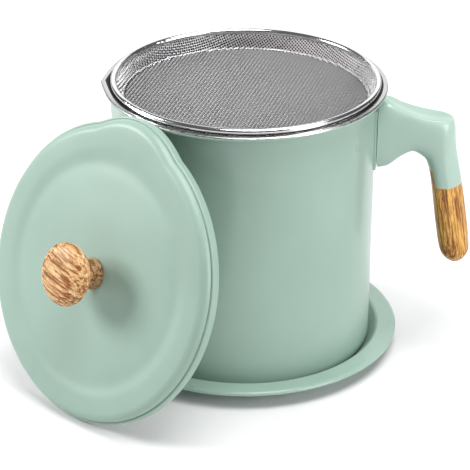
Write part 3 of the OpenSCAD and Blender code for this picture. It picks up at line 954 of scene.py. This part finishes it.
def weave(s, direction, side):
    """Points and faces of all wires of one direction, on the flat floor or on the raised side."""
    lengths, radii, heights = basket_profile(s)
    pitch, wire, crimp = s.pitch / MM, s.wire / MM, s.crimp / MM
    edge, full = lengths[1], lengths[-1]
    squeeze = 1.5
    count = int(full // pitch)
    points, faces, start = [], [], 0
    for line in range(-count, count + 1):
        across = line * pitch
        far = math.sqrt(max(full**2 - across**2, 0))
        near = math.sqrt(max(edge**2 - across**2, 0))
        stretches = [(-far, -near), (near, far)] if side else [(-near, near)]
        if side and near == 0:
            stretches = [(-far, far)]
        for low, high in stretches:
            knots = np.arange(math.ceil(low / pitch * 2), math.floor(high / pitch * 2) + 1)
            if len(knots) < 3:
                continue
            along = knots * pitch / 2
            # over and under: the height of a wire where it crosses the other direction's wires
            over = np.where((knots // 2 + line) % 2 == 0, 1, -1) * (1 if direction == 0 else -1)
            height = crimp * np.where(knots % 2 == 0, over, 0)
            flat = np.c_[np.full(len(knots), across), along]
            if direction == 1:
                flat = flat[:, ::-1]
            distance = np.hypot(flat[:, 0], flat[:, 1])
            r = np.interp(distance, lengths, radii)
            z = np.interp(distance, lengths, heights)
            slope_r = np.interp(distance + 0.2, lengths, radii) - r
            slope_z = np.interp(distance + 0.2, lengths, heights) - z
            out = flat / np.maximum(distance, 1e-6)[:, None]
            middle = np.c_[out * r[:, None], z]
            steep = np.maximum(np.hypot(slope_r, slope_z), 1e-9)
            normal = np.c_[out * (-slope_z / steep)[:, None], slope_r / steep]
            middle = middle + normal * height[:, None]
            ahead = np.gradient(middle, axis=0)
            ahead /= np.linalg.norm(ahead, axis=1)[:, None]
            beside = np.cross(normal, ahead)
            beside /= np.linalg.norm(beside, axis=1)[:, None]
            # the press squeezes the wires wide in the bead round the floor
            squeezed = (distance > edge - 0.2) & (distance < edge + s.bead / MM)
            thick = beside * np.where(squeezed, squeeze * wire, wire)[:, None]
            rise = wire * normal
            rings = np.stack([middle + rise, middle + thick, middle - rise, middle - thick], axis=1)
            points.append(rings.reshape(-1, 3))
            # four sides between neighbouring rings, and a cap at each end
            k = np.arange(len(knots) - 1)[:, None] * 4 + start
            i, j = np.arange(4)[None, :], (np.arange(4)[None, :] + 1) % 4
            faces.append(np.stack([k + j, k + i, k + 4 + i, k + 4 + j], axis=-1).reshape(-1, 4))
            start += len(knots) * 4
            faces.append(np.array([[start - 1, start - 2, start - 3, start - 4]]))
            faces.append(k[0] + np.array([[0, 1, 2, 3]]))
    cos, sin = math.cos(s.weave_turn), math.sin(s.weave_turn)
    turned = np.concatenate(points) @ np.array([[cos, sin, 0], [-sin, cos, 0], [0, 0, 1]])
    return turned, np.concatenate(faces)


class GREASEPOT_OT_strainer(bpy.types.Operator):
    """Weave the strainer's mesh and polish its ring"""

    bl_idname = "greasepot.strainer"
    bl_label = "Strainer"

    def execute(self, context):
        sizes, looks = context.scene.grease_strainer, context.scene.grease_finishes
        # the same steel wire in two tones: the floor's dimmed as painted shade, the side's made paler as
        # painted light
        wires = {
            "floor": steel("floor wire shaded", looks.floor_wire_shaded, 0.4, 500.0, (1, 1, 1)),
            "side": steel("side wire lit", looks.side_wire_lit, 0.32, 500.0, (1, 1, 1)),
        }
        for side, place, replaced in ((False, "floor", "strainer_floor"), (True, "side", "strainer_wall")):
            for direction, which in ((0, "warp"), (1, "weft")):
                points, faces = weave(sizes, direction, side)
                mesh = make_object(f"mesh_{place}_{which}", points, faces.tolist(), sharp=0)
                mesh.data.materials.append(wires[place])
                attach(mesh, "strainer")
                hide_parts(replaced)
        finish_node("strainer_ring", steel("polished ring", looks.ring_steel, 0.16, 120.0, (1, 1, 12)))
        return {"FINISHED"}


# ---- the tray and the fixings ------------------------------------------------------------------


class GREASEPOT_OT_tray(bpy.types.Operator):
    """Enamel the tray"""

    bl_idname = "greasepot.tray"
    bl_label = "Tray"

    def execute(self, context):
        finish_node("tray", enamel())
        return {"FINISHED"}


class GREASEPOT_OT_fixings(bpy.types.Operator):
    """Finish the handle's screw, the knob's screw and its washer"""

    bl_idname = "greasepot.fixings"
    bl_label = "Screws and Washer"

    def execute(self, context):
        zinc = steel("plain zinc", (0.55, 0.56, 0.57), 0.38, 700.0, (1, 1, 1))
        for name in ("handle_screw", "knob_screw", "knob_washer"):
            finish_node(name, zinc)
        return {"FINISHED"}


# ---- the stage ---------------------------------------------------------------------------------


# name, place, where it looks, width, height and power
LIGHTS = (
    ("key from the left", (-1.12, 0.0, 0.62), (0, 0, 0.06), 0.45, 0.5, 16.0),
    ("fill from the right", (1.22, -0.92, 0.6), (0, 0, 0.06), 0.7, 1.0, 16.0),
    ("top", (0.3, -0.15, 1.5), (0, 0, 0), 1.2, 0.9, 29.0),
    ("glow from behind", (0.0, 2.0, 0.9), (0, 0, 0.06), 3.0, 1.2, 15.0),
)


def softbox(name, place, aim, width, height, power):
    """A soft rectangular studio light."""
    light = bpy.data.lights.new(name, "AREA")
    light.shape = "RECTANGLE"
    light.size, light.size_y, light.energy = width, height, power
    lamp = bpy.data.objects.new(name, light)
    lamp.location = place
    lamp.rotation_euler = (Vector(aim) - Vector(place)).to_track_quat("-Z", "Y").to_euler()
    bpy.context.scene.collection.objects.link(lamp)


def aim_camera(s):
    """Camera at the photograph's viewing angle."""
    turn, pitch, roll = s.camera_turn, s.camera_pitch, s.camera_roll
    ahead = Vector((math.sin(turn) * math.cos(pitch), math.cos(turn) * math.cos(pitch), -math.sin(pitch)))
    right = Vector((math.cos(turn), -math.sin(turn), 0))
    up = right.cross(ahead)
    side = math.cos(roll) * right + math.sin(roll) * up
    top = -math.sin(roll) * right + math.cos(roll) * up
    data = bpy.data.cameras.new("camera")
    data.sensor_width = 36.0
    data.lens = s.focal_pixels / 470 * 36.0
    data.clip_start, data.clip_end = 0.05, 100.0
    camera = bpy.data.objects.new("camera", data)
    bpy.context.scene.collection.objects.link(camera)
    turned = Matrix((side, top, -ahead)).transposed().to_4x4()
    camera.matrix_world = Matrix.Translation(Vector(s.camera_place)) @ turned
    bpy.context.scene.camera = camera


class GREASEPOT_OT_stage(bpy.types.Operator):
    """Set up the pale floor, the soft light and the camera"""

    bl_idname = "greasepot.stage"
    bl_label = "Stage"

    def execute(self, context):
        sizes = context.scene.grease_stage
        aim_camera(sizes)
        half = 6.0
        floor = make_object(
            "floor",
            [(-half, -half, 0), (half, -half, 0), (half, half, 0), (-half, half, 0)],
            [(0, 1, 2, 3)],
            metres=True,
        )
        material, tree, shader = new_material("pale floor")
        cloud = noise(tree, (-600, 0), object_place(tree, (-900, 0)), scale=3.0, detail=2.0)
        clouded = mix(tree, (-200, 0), cloud, tone(sizes.floor, 0.99), tone(sizes.floor, 1.0))
        dress(tree, shader, {"Base Color": clouded, "Roughness": 0.9, "Specular IOR Level": 0.1})
        floor.data.materials.append(material)
        world = bpy.data.worlds.new("studio")
        context.scene.world = world
        world.use_nodes = True
        world.node_tree.nodes["Background"].inputs["Color"].default_value = (1, 1, 1, 1)
        world.node_tree.nodes["Background"].inputs["Strength"].default_value = sizes.sky
        for light in LIGHTS:
            softbox(*light)
        context.scene.view_settings.view_transform = "Standard"
        return {"FINISHED"}


# ---- the add-on --------------------------------------------------------------------------------

STEPS = (
    GREASEPOT_OT_stage,
    GREASEPOT_OT_tray,
    GREASEPOT_OT_pot,
    GREASEPOT_OT_handle,
    GREASEPOT_OT_grip,
    GREASEPOT_OT_strainer,
    GREASEPOT_OT_lid,
    GREASEPOT_OT_knob,
    GREASEPOT_OT_fixings,
)
GROUPS = {
    "grease_pot": PotSizes,
    "grease_lid": LidSizes,
    "grease_handle": HandleSizes,
    "grease_strainer": StrainerSizes,
    "grease_finishes": Finishes,
    "grease_stage": StageSizes,
}


class GREASEPOT_PT_panel(bpy.types.Panel):
    """Lists the steps and the sizes that they use"""

    bl_label = "Grease Pot"
    bl_idname = "GREASEPOT_PT_panel"
    bl_space_type = "VIEW_3D"
    bl_region_type = "UI"
    bl_category = "Grease Pot"

    def draw(self, context):
        for step in STEPS:
            self.layout.operator(step.bl_idname)
        for name, group in GROUPS.items():
            box = self.layout.box()
            box.label(text=group.__doc__)
            for key in group.__annotations__:
                box.prop(getattr(context.scene, name), key)


CLASSES = (*GROUPS.values(), *STEPS, GREASEPOT_PT_panel)


def register():
    """Registers the classes and puts the sizes on the scene."""
    for each in CLASSES:
        bpy.utils.register_class(each)
    for name, group in GROUPS.items():
        setattr(bpy.types.Scene, name, bpy.props.PointerProperty(type=group))


def unregister():
    """Takes them off again."""
    for name in GROUPS:
        delattr(bpy.types.Scene, name)
    for each in reversed(CLASSES):
        bpy.utils.unregister_class(each)


def main():
    """Builds everything in order."""
    register()
    for step in STEPS:
        group, name = step.bl_idname.split(".")
        getattr(getattr(bpy.ops, group), name)()


if __name__ == "__main__":
    main()
